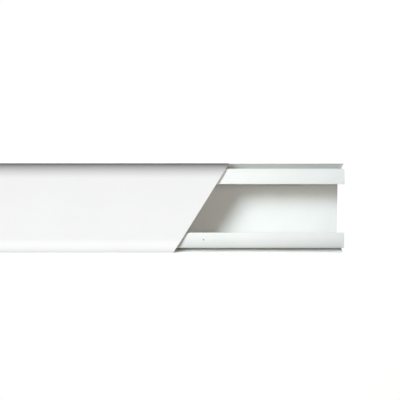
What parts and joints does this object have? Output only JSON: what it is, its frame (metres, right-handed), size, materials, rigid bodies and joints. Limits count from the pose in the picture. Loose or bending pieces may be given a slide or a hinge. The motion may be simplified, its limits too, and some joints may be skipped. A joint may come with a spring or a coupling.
{
  "type": "cable trunking",
  "caption": "Straight length of white PVC-U cable trunking: a lipped channel for wall mounting with a clip-on lid, round-edged and cut off at a slant near one end to show the inside.",
  "frame": {"origin": "middle of the back face, halfway along the length", "axes": "+X along the length towards the end where the lid is cut short, +Y across the width towards the lid's longer edge, +Z out of the wall, from the back to the lid"},
  "size_m": [2, 0.1, 0.05],
  "materials": {
    "base_pvc": "satin white extruded PVC-U",
    "lid_pvc": "satin white extruded PVC-U"
  },
  "bodies": {
    "base": {"base": "base_pvc"},
    "lid": {"lid": "lid_pvc"}
  },
  "joints": [
    {"name": "lid_slide", "type": "slide", "parent": "base", "child": "lid", "axis": [1, 0, 0], "range_m": [-1.88, 0.1275]}
  ]
}
